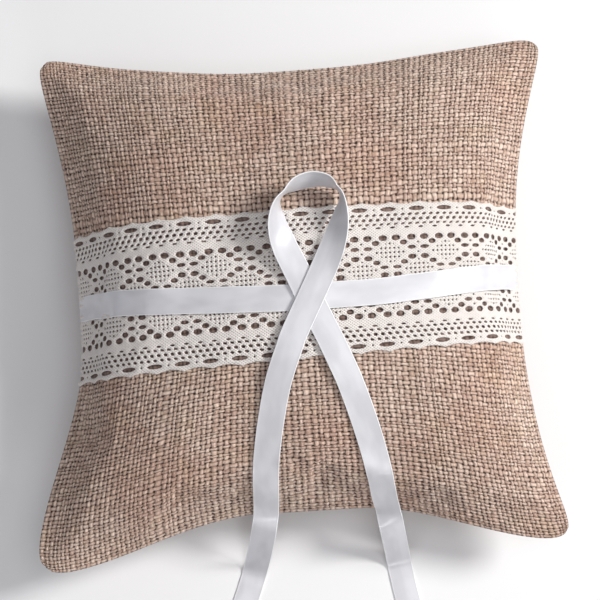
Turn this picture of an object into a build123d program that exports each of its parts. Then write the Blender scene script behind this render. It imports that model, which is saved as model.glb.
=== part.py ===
from build123d import *
import os
from math import cos, radians, sin, sqrt

# Ring bearer pillow: a stuffed burlap cushion with a lace band and a satin band across its
# face, and a satin ribbon folded into a loop, tacked at the middle, with two loose tails.
# It lies on its back: +Z is up out of its face and the tails leave over the edge at -Y.
# The origin is the middle of the flat patch that the cushion rests on. Millimetres.

# Cushion
corner_reach = 105.0        # centre to a corner before it is rounded, along X and along Y
side_waist = 87.0           # centre to the seam, half way along the left and right sides
front_waist = 84.5          # the same at the edge that the tails hang over
back_waist = 91.0
ear_radius = 8.0            # rounding of a corner at the seam
seam_z = 27.0               # height of the seam above the resting face
face_depth = 37.5           # seam to the crown, if the crown were not tacked flat
back_depth = 31.0           # seam to the bottom, if the table did not flatten it
face_levels = (0.0, 0.15, 0.3, 0.55, 0.78, 0.93, 0.985)
back_levels = (0.0, 0.15, 0.3, 0.55, 0.75, seam_z / back_depth)
side_power = 2.6            # crown profile over the middle of a side
corner_power = 2.1          # crown profile over a corner
edge_level = 0.08           # below this share of the depth a cloth grows level, not upwards

# Cloth and thread
burlap = 1.0
allowance = 8.0             # width of the turned-in edges at the seam
pad_inset = 9.0             # from the burlap's seam to the inner cover's own seam
lining = 0.5
lining_gap = 0.4
stitch_length = 3.0
stitch_pitch = 5.5
stitch_inset = 2.2          # seam to the row of stitches
stitch_half = 1.15          # half the depth of a stitch, through both turned-in edges
thread = 0.5
closing_half = 36.0         # half the hand-sewn gap in the back edge
closing_pitch = 6.0
closing_reach = 1.6         # half the height of a ladder stitch, across the seam

# Bands across the face: each lies between two heights above the burlap
lace_width = 57.0
lace_middle = 1.7           # the lace sits a little towards the back edge
lace_from, lace_to = 0.1, 0.9
lace_hem = 1.5              # edge of the lace to its row of stitches
lace_pitch = 8.0
lace_columns = 9            # stitches to each side of the middle one
ribbon_width = 10.0
ribbon_thickness = 0.4
band_from = 1.0
band_sag = 5.5              # the satin band sags towards the tails at the middle
band_end_y = 2.0
band_reach = 95.0           # its outline is drawn past the seams and cut off by the cushion

# The ribbon: where its two strands cross and how they lean from +Y
cross_x, cross_y = 4.8, -5.0
cross_half = 12.5           # the crossing's half length along Y
over_angle = 28.0           # top strand, from the left tail up to the right of the loop
under_angle = 23.5          # lower strand, from the right tail up to the left of the loop
under_height = 1.6          # underside of the lower strand above the burlap
over_height = 2.3
running_gap = 0.3           # between the fixed crossing and what lifts
strand_lift = 0.9           # middle of a tail above bare burlap
floor_lift = 0.35           # middle of a tail above the table

hinge_y_loop = cross_y + cross_half
hinge_y_tails = cross_y - cross_half


def outline(height, side, front, back, corner, radius):
    """Four bowed sides between rounded corners, on a level plane."""
    with BuildSketch(Plane.XY.offset(height)) as shape:
        with BuildLine():
            ThreePointArc((-corner, -corner), (0, -front), (corner, -corner))
            ThreePointArc((corner, -corner), (side, 0), (corner, corner))
            ThreePointArc((corner, corner), (0, back), (-corner, corner))
            ThreePointArc((-corner, corner), (-side, 0), (-corner, -corner))
        make_face()
        fillet(vertices(), radius)
    return shape.sketch


def ring(height, inset):
    """The seam's own outline, drawn in by an inset."""
    return outline(height, side_waist - inset, front_waist - inset, back_waist - inset,
                   corner_reach - inset, ear_radius - 0.3 * inset)


def slice_at(up, level, grow):
    """One level cut through a crowned half, grown outwards by a cloth's distance."""
    depth = face_depth if up > 0 else back_depth
    side_share = (1 - level) ** (1 / side_power)
    corner_share = (1 - level) ** (1 / corner_power)
    slope = side_power * depth / side_waist * side_share ** (side_power - 1)
    out, rise = slope / sqrt(slope ** 2 + 1), 1 / sqrt(slope ** 2 + 1)
    if level < edge_level:
        out, rise = 1 / out, 0
    reaches = [waist * side_share + grow * out for waist in (side_waist, front_waist, back_waist)]
    corner = corner_reach * corner_share + grow * out
    return outline(seam_z + up * (depth * level + grow * rise), *reaches, corner, ear_radius * (1 + level))


def half(up, grow, ledge=0.0, mode=Mode.ADD):
    """One crowned half, from its edge at the seam, or from a ledge a little off it."""
    levels, depth = (face_levels, face_depth) if up > 0 else (back_levels, back_depth)
    sections = [slice_at(up, level, grow) for level in (ledge / depth,) + levels[1:]]
    loft(sections[::up], mode=mode)


def panel(up):
    """A burlap panel: a crowned skin and the allowance turned in at its edge."""
    half(up, 0)
    half(up, -burlap, burlap, Mode.SUBTRACT)
    extrude(ring(seam_z, allowance), amount=up * burlap, mode=Mode.SUBTRACT)


def cover(up):
    """Half of the inner cover, drawn in where it passes between the burlap's turned-in edges."""
    outside = burlap + lining_gap
    half(up, -outside, outside)
    half(up, -outside - lining, outside + lining, Mode.SUBTRACT)
    extrude(ring(seam_z, pad_inset), amount=up * (outside + lining / 2))
    extrude(ring(seam_z, pad_inset + lining), amount=up * (outside + 2 * lining), mode=Mode.SUBTRACT)


os.makedirs("parts", exist_ok=True)

with BuildPart() as front_panel:
    panel(1)
front_panel.part.label = "front_panel"

with BuildPart() as back_panel:
    panel(-1)
back_panel.part.label = "back_panel"

with BuildPart() as inner_cover_top:
    cover(1)
inner_cover_top.part.label = "inner_cover_top"

with BuildPart() as inner_cover_bottom:
    cover(-1)
inner_cover_bottom.part.label = "inner_cover_bottom"

# The filling necks in between the turned-in edges, where the inner cover's own seam is.
fill_gap = burlap + lining + 2 * lining_gap
neck = fill_gap - 0.3
neck_inset = pad_inset + lining + lining_gap
with BuildPart() as fibre_fill:
    stack = [slice_at(-1, level, -fill_gap) for level in back_levels[:0:-1]]
    stack += [slice_at(-1, fill_gap / back_depth, -fill_gap), ring(seam_z - neck, neck_inset)]
    stack += [ring(seam_z + neck, neck_inset), slice_at(1, fill_gap / face_depth, -fill_gap)]
    stack += [slice_at(1, level, -fill_gap) for level in face_levels[1:]]
    loft(stack, ruled=True)
fibre_fill.part.label = "fibre_fill"

# Seam stitches run through both turned-in edges, except along the hand-sewn gap.
seam_wire = ring(0, stitch_inset).face().outer_wire()
stitch_count = int(seam_wire.length / stitch_pitch)
with BuildPart() as seam_stitches:
    for number in range(stitch_count):
        share = number / stitch_count
        place, way = seam_wire @ share, seam_wire % share
        if place.Y > 0 and abs(place.X) < closing_half:
            continue
        low_end = (place.X, place.Y, seam_z - stitch_half)
        with BuildSketch(Plane(origin=low_end, x_dir=way, z_dir=(0, 0, 1))):
            SlotOverall(stitch_length, thread)
        extrude(amount=2 * stitch_half)
seam_stitches.part.label = "seam_stitches"

# Ladder stitches close the stuffing gap, round the outside of the back edge's seam.
with BuildPart() as crown:
    half(1, 0)
seam_edges = crown.part.edges().filter_by_position(Axis.Z, seam_z, seam_z)
back_edge = seam_edges.sort_by(SortBy.LENGTH)[-4:].sort_by(Axis.Y)[-1]
with BuildPart() as closing_stitches:
    for number in range(int(2 * closing_half / closing_pitch) + 1):
        share = 0.5 + (number * closing_pitch - closing_half) / back_edge.length
        place, way = back_edge @ share, back_edge % share
        low_end = (place.X, place.Y - thread / 5, seam_z - closing_reach)
        with BuildSketch(Plane(origin=low_end, x_dir=way, z_dir=(0, 0, 1))):
            RectangleRounded(thread, 2 * thread, 0.4 * thread)
        extrude(amount=2 * closing_reach)
closing_stitches.part.label = "closing_stitches"


def skin(low, high):
    """A layer that lies on the cushion's face, between two heights above the burlap."""
    half(1, high)
    half(1, low, mode=Mode.SUBTRACT)


with BuildPart() as lace_band:
    skin(lace_from, lace_to)
    with BuildSketch(Plane.XY.offset(seam_z)):
        with Locations((0, lace_middle)):
            Rectangle(2.2 * corner_reach, lace_width)
    extrude(amount=face_depth + 5, mode=Mode.INTERSECT)
lace_band.part.label = "lace_band"

with BuildPart() as satin_band:
    skin(band_from, band_from + ribbon_thickness)
    with BuildSketch(Plane.XY.offset(seam_z)):
        with BuildLine():
            low, high = band_end_y - ribbon_width / 2, band_end_y + ribbon_width / 2
            ThreePointArc((-band_reach, low), (0, low - band_sag), (band_reach, low))
            Line((band_reach, low), (band_reach, high))
            ThreePointArc((band_reach, high), (0, high - band_sag), (-band_reach, high))
            Line((-band_reach, high), (-band_reach, low))
        make_face()
    extrude(amount=face_depth + 5, mode=Mode.INTERSECT)
satin_band.part.label = "satin_band"


def crossing_strand(low, lean):
    """One strand of the fixed crossing, cut off square to Y at both ends."""
    skin(low, low + ribbon_thickness)
    with BuildSketch(Plane.XY.offset(seam_z)) as shape:
        with Locations(Location((cross_x, cross_y, 0), (0, 0, lean))):
            Rectangle(ribbon_width, 4 * cross_half)
        with Locations((cross_x, cross_y)):
            Rectangle(8 * cross_half, 2 * cross_half, mode=Mode.INTERSECT)
    extrude(shape.sketch, amount=face_depth + 5, mode=Mode.INTERSECT)


with BuildPart() as crossing_over:
    crossing_strand(over_height, -over_angle)
crossing_over.part.label = "crossing_over"

with BuildPart() as crossing_under:
    crossing_strand(under_height, under_angle)
crossing_under.part.label = "crossing_under"


def face_at(x, y):
    """Where a plumb line meets the cushion's face, and the face's normal there."""
    hits = crown.part.find_intersection_points(Axis((x, y, 200), (0, 0, -1)))
    return max(hits, key=lambda hit: hit[0].Z)


# Lace stitches: short threads through both long edges of the lace.
with BuildPart() as lace_stitches:
    for row in (-1, 1):
        for column in range(-lace_columns, lace_columns + 1):
            place, normal = face_at(lace_pitch * column, lace_middle + row * (lace_width / 2 - lace_hem))
            low_end = place - normal * 0.9 * burlap
            with BuildSketch(Plane(origin=low_end, x_dir=(1, 0, 0), z_dir=normal)):
                SlotOverall(5 * thread, 0.8 * thread)
            extrude(amount=2 * burlap)
lace_stitches.part.label = "lace_stitches"

# Tack: two crossed bars hidden between the strands, four legs and a flat knot behind the burlap.
tack_top = face_at(cross_x, cross_y)[0].Z + under_height + ribbon_thickness
tack_legs = 3.0             # distance between the legs
tack_thread = 0.6
tack_depth = under_height + ribbon_thickness + burlap + 0.85 * lining_gap
with BuildPart() as tack_stitch:
    with BuildSketch(Plane.XY.offset(tack_top + 0.02)):
        for lean in (-45, 45):
            with Locations(Location((cross_x, cross_y, 0), (0, 0, lean))):
                SlotOverall(tack_legs * sqrt(2) + tack_thread, tack_thread)
    extrude(amount=0.4 * tack_thread)
    with BuildSketch(Plane.XY.offset(tack_top + 0.02)):
        with Locations((cross_x, cross_y)):
            with GridLocations(tack_legs, tack_legs, 2, 2):
                Circle(tack_thread / 2)
    extrude(amount=-tack_depth)
    with BuildSketch(Plane.XY.offset(tack_top - tack_depth)):
        with Locations((cross_x, cross_y)):
            RectangleRounded(tack_legs + 2 * tack_thread, tack_legs + 2 * tack_thread, 1.0)
    extrude(amount=0.4 * tack_thread)
tack_stitch.part.label = "tack_stitch"


def heading(route, number):
    """The level direction of a route at one of its points, from the points beside it."""
    before, after = route[max(number - 1, 0)], route[min(number + 1, len(route) - 1)]
    return Vector(after[0] - before[0], after[1] - before[1], 0).normalized()


def strip(centres, across):
    """A flat ribbon through a list of middles, each with the way its width runs."""
    last = len(centres) - 1
    sections = []
    for number, (centre, width_way) in enumerate(zip(centres, across)):
        along = (centres[min(number + 1, last)] - centres[max(number - 1, 0)]).normalized()
        width_way = (width_way - along * width_way.dot(along)).normalized()
        with BuildSketch(Plane(origin=centre, x_dir=width_way, z_dir=along)) as section:
            Rectangle(ribbon_width, ribbon_thickness)
        sections.append(section.sketch)
    loft(sections)


# Loop: its outer edge banks up until the ribbon stands on edge round the top of the loop.
# Each point is x, y and the bank in degrees, from the over strand round to the under strand.
loop_route = (
    (9.2, 3.3, 0), (11.8, 8.4, 6), (14.6, 14.6, 24), (17.0, 21.6, 45), (18.5, 28.5, 68),
    (17.6, 34.8, 80), (13.6, 38.8, 74), (8.0, 40.2, 66), (2.2, 38.9, 72), (-2.6, 35.0, 80),
    (-5.2, 29.6, 66), (-5.5, 22.8, 42), (-3.6, 15.4, 16), (-0.6, 8.2, 4), (1.6, 3.0, 0))
middles, widths = [], []
for number, (x, y, bank) in enumerate(loop_route):
    way = heading(loop_route, number)
    outward = Vector(way.Y, -way.X, 0)
    lower = Vector(x, y, 0) - outward * (ribbon_width / 2 * cos(radians(bank)))
    lift = over_height + ribbon_thickness / 2
    lift -= (over_height - under_height) * number / (len(loop_route) - 1)
    rest_z = max(face_at(lower.X, lower.Y)[0].Z, face_at(x, y)[0].Z) + lift
    middles.append(Vector(x, y, rest_z + ribbon_width / 2 * sin(radians(bank))))
    widths.append(outward * cos(radians(bank)) + Vector(0, 0, sin(radians(bank))))
with BuildPart() as ribbon_loop:
    strip(middles, widths)
    split(bisect_by=Plane.XZ.offset(-hinge_y_loop - running_gap), keep=Keep.BOTTOM)
ribbon_loop.part.label = "ribbon_loop"

# Tails: down the cushion's face, over the seam, then down to the table and along it.
left_route = ((-0.1, -14.2), (-2.3, -18.4), (-5.6, -26.0), (-8.6, -34.0), (-11.0, -42.5), (-13.1, -51.0),
              (-14.8, -59.5), (-15.9, -68.0), (-16.7, -76.0), (-17.6, -83.6), (-18.8, -89.5),
              (-20.4, -95.5), (-22.3, -101.5), (-24.8, -109.0), (-28.4, -119.0), (-32.8, -130.0),
              (-37.0, -140.0), (-41.5, -150.0))
right_route = ((8.9, -14.2), (10.7, -18.4), (13.9, -26.0), (17.0, -34.5), (19.9, -43.0), (22.6, -51.5),
               (25.0, -60.5), (27.1, -69.0), (28.8, -76.5), (30.4, -84.8), (31.6, -90.5),
               (32.9, -95.5), (34.0, -101.5), (35.2, -109.0), (36.6, -119.0), (38.4, -130.0),
               (40.6, -140.0), (43.4, -150.0))
leave_y, land_y = -86.0, -107.0     # where a tail leaves the cushion and where it meets the table
fall_slope = 1.15


def tail(route, first_lift):
    """One tail, from beside the crossing to its slanted cut end."""
    centres, across = [], []
    leave_z = None
    for number, (x, y) in enumerate(route):
        way = heading(route, number)
        if y > leave_y:
            settle = min(1.0, (hinge_y_tails - y) / 18.0) if y < hinge_y_tails else 0.0
            place, normal = face_at(x, y)
            centre = place + normal * (first_lift + (strand_lift - first_lift) * settle)
            leave_z, leave_at = centre.Z, y
            side = way.cross(normal)
        else:
            share = min(1.0, (leave_at - y) / (leave_at - land_y))
            fall = leave_z * (2 * share ** 3 - 3 * share ** 2 + 1)
            fall -= fall_slope * (leave_at - land_y) * (share ** 3 - 2 * share ** 2 + share)
            centre = Vector(x, y, fall + floor_lift * (3 * share ** 2 - 2 * share ** 3))
            side = way.cross(Vector(0, 0, 1))
        centres.append(centre)
        across.append(side)
    strip(centres, across)
    split(bisect_by=Plane.XZ.offset(-hinge_y_tails + running_gap), keep=Keep.TOP)
    slant = Plane(origin=centres[-1] + Vector(0, 4, 0), x_dir=(0, 0, 1), z_dir=(0.5, -1, 0))
    split(bisect_by=slant, keep=Keep.BOTTOM)


with BuildPart() as left_tail:
    tail(left_route, over_height + ribbon_thickness / 2)
left_tail.part.label = "left_tail"

with BuildPart() as right_tail:
    tail(right_route, under_height + ribbon_thickness / 2)
right_tail.part.label = "right_tail"

for piece in (front_panel, back_panel, inner_cover_top, inner_cover_bottom, fibre_fill, seam_stitches,
              closing_stitches, lace_band, lace_stitches, satin_band, crossing_over, crossing_under,
              tack_stitch, ribbon_loop, left_tail, right_tail):
    export_step(piece.part, f"parts/{piece.part.label}.step")
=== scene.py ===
# %% [markdown]
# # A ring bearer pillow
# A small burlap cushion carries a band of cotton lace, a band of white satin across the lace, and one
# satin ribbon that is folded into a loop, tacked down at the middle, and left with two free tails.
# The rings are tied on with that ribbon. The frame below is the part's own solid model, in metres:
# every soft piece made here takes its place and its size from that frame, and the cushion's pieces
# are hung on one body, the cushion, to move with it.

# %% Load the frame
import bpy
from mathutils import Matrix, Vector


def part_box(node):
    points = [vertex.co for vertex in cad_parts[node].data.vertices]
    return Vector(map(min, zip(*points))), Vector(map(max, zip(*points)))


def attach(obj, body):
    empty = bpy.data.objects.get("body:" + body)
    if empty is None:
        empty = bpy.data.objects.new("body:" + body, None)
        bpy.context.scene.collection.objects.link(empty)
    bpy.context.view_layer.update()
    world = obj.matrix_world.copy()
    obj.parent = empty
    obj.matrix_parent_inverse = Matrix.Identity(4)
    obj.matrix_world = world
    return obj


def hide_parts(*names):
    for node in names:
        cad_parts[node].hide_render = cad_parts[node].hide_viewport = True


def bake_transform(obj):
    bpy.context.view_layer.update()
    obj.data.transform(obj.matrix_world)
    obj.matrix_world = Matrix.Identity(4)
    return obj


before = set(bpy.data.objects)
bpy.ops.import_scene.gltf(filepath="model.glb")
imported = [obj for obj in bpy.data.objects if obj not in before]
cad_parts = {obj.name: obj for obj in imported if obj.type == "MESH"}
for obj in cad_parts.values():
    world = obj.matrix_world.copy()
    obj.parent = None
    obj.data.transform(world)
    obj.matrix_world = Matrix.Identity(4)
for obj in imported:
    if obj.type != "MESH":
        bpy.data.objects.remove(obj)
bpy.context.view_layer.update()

# %% [markdown]
# ## The camera
# A flat-lying cushion reads best from almost overhead. The camera is tipped a little towards the
# tails, and turned a few degrees, so that the cushion looks laid down by hand. It is made first,
# because every later choice is judged through it.

# %% Camera
import math
import bpy
import numpy as np
from mathutils import Matrix, Vector
from mathutils.bvhtree import BVHTree

MM = 0.001
scene = bpy.context.scene
face_low, face_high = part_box("front_panel")
seam_height = face_low.z
middle = (face_low + face_high) / 2
aside, nearer = 1.0 * MM, 1.0 * MM
look_at = Vector((middle.x + aside, middle.y - nearer, seam_height))
tilt, turn, distance = math.radians(7.5), math.radians(3.5), 0.6
back = Vector((0, -math.sin(tilt), math.cos(tilt)))
right = Vector((1, 0, 0))
up = back.cross(right)
cam_right = right * math.cos(turn) - up * math.sin(turn)
cam_up = right * math.sin(turn) + up * math.cos(turn)
camera = bpy.data.objects.new("camera", bpy.data.cameras.new("camera"))
camera.data.lens, camera.data.sensor_width = 90, 36
turned = Matrix((cam_right, cam_up, back)).transposed().to_4x4()
camera.matrix_world = Matrix.Translation(look_at + back * distance) @ turned
scene.collection.objects.link(camera)
scene.camera = camera
print("camera stands", round(distance, 2), "m from the cushion")

# %% [markdown]
# ## Smooth lines and grids
# Cloth is easiest to make as a grid of points, because its rows and columns can then run the way the
# threads run. These helpers draw smooth curves between the points of a coarse grid, and turn a grid
# into a mesh that remembers where each point is in the cloth.

# %% Smooth in-between points
def between(lines, at):
    """Lines of a grid at in-between places, on smooth curves through the given ones."""
    last = len(lines) - 1
    padded = np.concatenate([2 * lines[:1] - lines[1:2], lines, 2 * lines[-1:] - lines[-2:-1]])
    cell = np.clip(np.asarray(at).astype(int), 0, last - 1)
    part = (at - cell).reshape(-1, *[1] * (lines.ndim - 1))
    a, b, c, d = (padded[cell + step] for step in range(4))
    curve = c - a + part * (2 * a - 5 * b + 4 * c - d + part * (3 * (b - c) + d - a))
    return b + 0.5 * part * curve


def finer(grid, rows, columns):
    """A grid of points at in-between rows and columns."""
    across = between(grid, rows)
    return np.swapaxes(between(np.swapaxes(across, 0, 1), columns), 0, 1)


def facing(grid):
    """The way each point of a grid faces."""
    way = np.cross(np.gradient(grid, axis=1), np.gradient(grid, axis=0))
    return way / np.linalg.norm(way, axis=2, keepdims=True)


def length_along(line):
    """How far each point of a line is from its start."""
    return np.concatenate([[0], np.cumsum(np.linalg.norm(np.diff(line, axis=0), axis=1))])


def read_off(at, known, points):
    """Points of a line at given places, where known says the place of each of its own points."""
    return np.stack([np.interp(at, known, points[:, axis]) for axis in range(points.shape[1])], axis=-1)


def clamp(values, low=0.0, high=1.0):
    return np.minimum(np.maximum(values, low), high)


def ease(values, low, high):
    """Goes smoothly from 0 at low to 1 at high."""
    share = clamp((values - low) / (high - low))
    return share * share * (3 - 2 * share)


print("between 4 and 9 in 1, 4, 9, 16:", between(np.array([1.0, 4.0, 9.0, 16.0]), np.array([1.5])))


# %% Meshes from grids
def grid_quads(number):
    """The four corners of each cell of a grid of point numbers."""
    return np.stack([number[:-1, :-1], number[:-1, 1:], number[1:, 1:], number[1:, :-1]], axis=-1)


def new_piece(name, mesh):
    piece = bpy.data.objects.new(name, mesh)
    scene.collection.objects.link(piece)
    mesh.shade_smooth()
    return piece


def cloth_piece(name, grid, cloth_place, keep=None, turned_over=False):
    """A sheet of cloth from a grid of points; cloth_place is where each point is in the flat cloth."""
    rows, columns = grid.shape[:2]
    number = np.arange(rows * columns).reshape(rows, columns)
    quads = grid_quads(number)
    quads = quads[keep] if keep is not None else quads.reshape(-1, 4)
    if turned_over:
        quads = quads[:, ::-1]
    used, corners = np.unique(quads, return_inverse=True)
    corners = corners.ravel()
    mesh = bpy.data.meshes.new(name)
    mesh.vertices.add(len(used))
    mesh.vertices.foreach_set("co", grid.reshape(-1, 3)[used].ravel())
    mesh.loops.add(len(corners))
    mesh.loops.foreach_set("vertex_index", corners.astype(np.int32))
    mesh.polygons.add(len(quads))
    mesh.polygons.foreach_set("loop_start", np.arange(0, len(corners), 4, dtype=np.int32))
    places = mesh.uv_layers.new(name="cloth")
    places.data.foreach_set("uv", cloth_place.reshape(-1, 2)[used][corners].ravel())
    mesh.update()
    mesh.validate()
    return new_piece(name, mesh)


def wrapped_piece(name, runs, cloth_places):
    """One mesh of closed skins, each round a run of rings of points, with a lid on both ends."""
    points, faces, places, lids = [], [], [], []
    for rings, cloth_place in zip(runs, cloth_places):
        count, around = rings.shape[:2]
        start = len(points)
        points += rings.reshape(-1, 3).tolist()
        places += cloth_place.reshape(-1, 2).tolist()
        for ring in range(count - 1):
            for step in range(around):
                a, b = start + ring * around + step, start + ring * around + (step + 1) % around
                faces.append((a, b, b + around, a + around))
        for ring, way in ((0, -1), (count - 1, 1)):
            lids.append(len(faces))
            faces.append(list(range(start + ring * around, start + (ring + 1) * around))[::way])
    mesh = bpy.data.meshes.new(name)
    mesh.from_pydata(points, [], faces)
    corners = np.zeros(len(mesh.loops), np.int32)
    mesh.loops.foreach_get("vertex_index", corners)
    layer = mesh.uv_layers.new(name="cloth")
    layer.data.foreach_set("uv", np.array(places)[corners].ravel())
    mesh.update()
    piece = new_piece(name, mesh)
    for lid in lids:
        mesh.polygons[lid].use_smooth = False
        for corner in mesh.polygons[lid].loop_indices:
            mesh.edges[mesh.loops[corner].edge_index].use_edge_sharp = True
    return piece


# %% [markdown]
# ## The cushion's shape
# A cushion is two square cloths sewn edge to edge and stuffed. Its middle rises, its sides pull in
# between the corners, and its corners stay out as flat ears. It could be a sculpted block, but a grid
# that follows the cloth keeps the threads true, so the shape starts as a formula over the square:
# -1 to 1 across and -1 to 1 along. Steps are even along the bulging surface, as they are in cloth.

# %% The four edges and the crown
cells = 80
crown_height = face_high.z - seam_height
waists = {"left": 88.0 * MM, "right": 89.8 * MM, "front": 85.0 * MM, "back": 95.5 * MM}
corner_spots = {(-1, 1): (-102.0, 107.0), (1, 1): (107.5, 103.0), (-1, -1): (-108.5, -103.0),
                (1, -1): (104.0, -101.0)}


def even_steps(power, width, height, count):
    """Shares of a half width at even steps along a crowned profile."""
    share = np.linspace(0, 1, 400)
    slope = power * height * share ** (power - 1)
    length = np.concatenate([[0], np.cumsum(np.hypot(width, (slope[1:] + slope[:-1]) / 2))])
    half = np.interp(np.linspace(0, length[-1], count // 2 + 1), length, share)
    return np.concatenate([-half[:0:-1], half])


steps = even_steps(power=2.7, width=87 * MM, height=crown_height, count=cells)
u, v = np.meshgrid(steps, steps)
half_x = np.where(u < 0, waists["left"], waists["right"])
half_y = np.where(v < 0, waists["front"], waists["back"])
corner_x, corner_y = np.zeros_like(u), np.zeros_like(u)
for (way_x, way_y), (spot_x, spot_y) in corner_spots.items():
    share = clamp(1 + way_x * u, 0, 2) * clamp(1 + way_y * v, 0, 2) / 4
    corner_x += share * abs(spot_x) * MM
    corner_y += share * abs(spot_y) * MM
rounding = 1 - 0.040 * np.abs(u * v) ** 18
near_bow = np.where(u < 0, ease(np.abs(v), 0.10, 1.0), np.abs(v) ** 2.7)
side_bow = np.where(v > 0, np.abs(v) ** 2, near_bow)
end_bow = np.where(v < 0, ease(np.abs(u), 0.18, 1.0), np.abs(u) ** 1.8)
place_x = u * (half_x + (corner_x - half_x) * side_bow) * rounding
place_y = v * (half_y + (corner_y - half_y) * end_bow) * rounding
crown_power = 2.9
swell = (1 - np.abs(u) ** crown_power) * (1 - np.abs(v) ** crown_power)
wander_height, wander_length = 0.7 * MM, 20 * MM
edge_wander = wander_height * (np.sin(2.3 * place_x / wander_length + 1)
                               + np.sin(1.7 * place_y / wander_length))
seam_line = seam_height + edge_wander
face_shape = np.stack([place_x, place_y, seam_line + crown_height * swell], axis=2)
under_depth = 31 * MM
under_shape = np.stack([place_x, place_y, seam_line - under_depth * swell], axis=2)
print("face grid", face_shape.shape, "crown", round(crown_height / MM, 1), "mm above the seam")

# %% [markdown]
# ## Stuffing it
# A formula alone looks pressed from a mould. Blender's cloth solver blows the two cloths up like the
# stuffing does: the cloth is cut a little full, so it puckers by the seams and finds its own
# curves. Each point may move only a few millimetres, so the cushion keeps its size. The
# underside is then flattened where it rests on the table.

# %% Cloth solver
frames = 20
furthest = 6 * MM


def closed_bag(name, top, low):
    """A closed mesh of two grids that share their outermost points, and its point numbers."""
    rows, columns = top.shape[:2]
    number = np.arange(rows * columns).reshape(rows, columns)
    low_number = number.copy()
    low_number[1:-1, 1:-1] = rows * columns + np.arange((rows - 2) * (columns - 2)).reshape(rows - 2, -1)
    points = np.concatenate([top.reshape(-1, 3), low[1:-1, 1:-1].reshape(-1, 3)])
    faces = grid_quads(number).reshape(-1, 4).tolist()
    faces += grid_quads(low_number).reshape(-1, 4)[:, ::-1].tolist()
    mesh = bpy.data.meshes.new(name)
    mesh.from_pydata(points.tolist(), [], faces)
    return mesh, points, number, low_number


def stuffed(face, under):
    """Both sides after the cloth solver has filled them out."""
    mesh, points, number, low_number = closed_bag("blank", face, under)
    blank = bpy.data.objects.new("blank", mesh)
    scene.collection.objects.link(blank)
    cloth = blank.modifiers.new("cloth", "CLOTH")
    settings = cloth.settings
    settings.quality = 6
    settings.mass = 0.3
    settings.tension_stiffness = settings.compression_stiffness = 30
    settings.shear_stiffness = 12
    settings.bending_stiffness = 0.8
    settings.shrink_min = -0.018
    settings.use_pressure = True
    settings.uniform_pressure_force = 4
    settings.effector_weights.gravity = 0
    cloth.point_cache.frame_start, cloth.point_cache.frame_end = 1, frames
    for step in range(1, frames + 1):
        scene.frame_set(step)
    filled = blank.evaluated_get(bpy.context.evaluated_depsgraph_get()).to_mesh()
    moved = np.zeros(len(points) * 3, np.float32)
    filled.vertices.foreach_get("co", moved)
    moved = moved.reshape(-1, 3) - points
    scene.frame_set(1)
    bpy.data.objects.remove(blank)
    reach = np.linalg.norm(moved, axis=1, keepdims=True) + 1e-9
    inside = np.minimum(1 - np.abs(u), 1 - np.abs(v))
    inside = np.concatenate([inside.ravel(), inside[1:-1, 1:-1].ravel()])[:, None]
    free = 0.3 + 0.7 * ease(inside, 0.0, 0.2)
    points = points + moved / reach * furthest * np.tanh(reach / furthest) * free
    print("cloth solver moved the cloth by up to", round(float(reach.max()) / MM, 1), "mm")
    print("and by", round(float(reach.mean()) / MM, 1), "mm on average")
    return points[number], points[low_number]


face_shape, under_shape = stuffed(face_shape, under_shape)

# %% Crown and resting patch
fullness, table_gap, rest_curve = 1.5 * MM, 0.3 * MM, 2.5 * MM
raised = seam_height + crown_height + fullness - face_shape[..., 2].max()
face_shape[..., 2] += raised * ease(swell, 0.0, 1.0)
under_z = under_shape[..., 2]
under_shape[..., 2] = table_gap + rest_curve * np.log1p(np.exp(clamp(under_z / rest_curve, -30, 30)))
under_shape[[0, -1]], under_shape[:, [0, -1]] = face_shape[[0, -1]], face_shape[:, [0, -1]]
print("cushion stands", round(float(face_shape[..., 2].max()) / MM, 1), "mm high")

# %% Places on the face
smooth_rows = np.linspace(0, cells, 4 * cells + 1)
smooth_face = finer(face_shape, smooth_rows, smooth_rows)
smooth_points = smooth_face.reshape(-1, 3)
face_number = np.arange(len(smooth_points)).reshape(smooth_face.shape[:2])
face_tree = BVHTree.FromPolygons(smooth_points.tolist(), grid_quads(face_number).reshape(-1, 4).tolist())


def on_face(x, y):
    """Where a plumb line meets the cushion's face, and the way the face looks there."""
    spot, way, _, _ = face_tree.ray_cast(Vector((x, y, 0.3)), Vector((0, 0, -1)))
    if spot is None:
        spot, way, _, _ = face_tree.find_nearest(Vector((x, y, seam_height)))
    return spot, way


print("the face is", round(on_face(0, 0)[0].z / MM, 1), "mm above the table at the middle")

# %% [markdown]
# ## Finishes
# Each finish is a small recipe of nodes that works out its colour and its fine relief from where a
# point is in the cloth. The Finish class keeps such recipes short: its steps read almost like sums.

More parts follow.
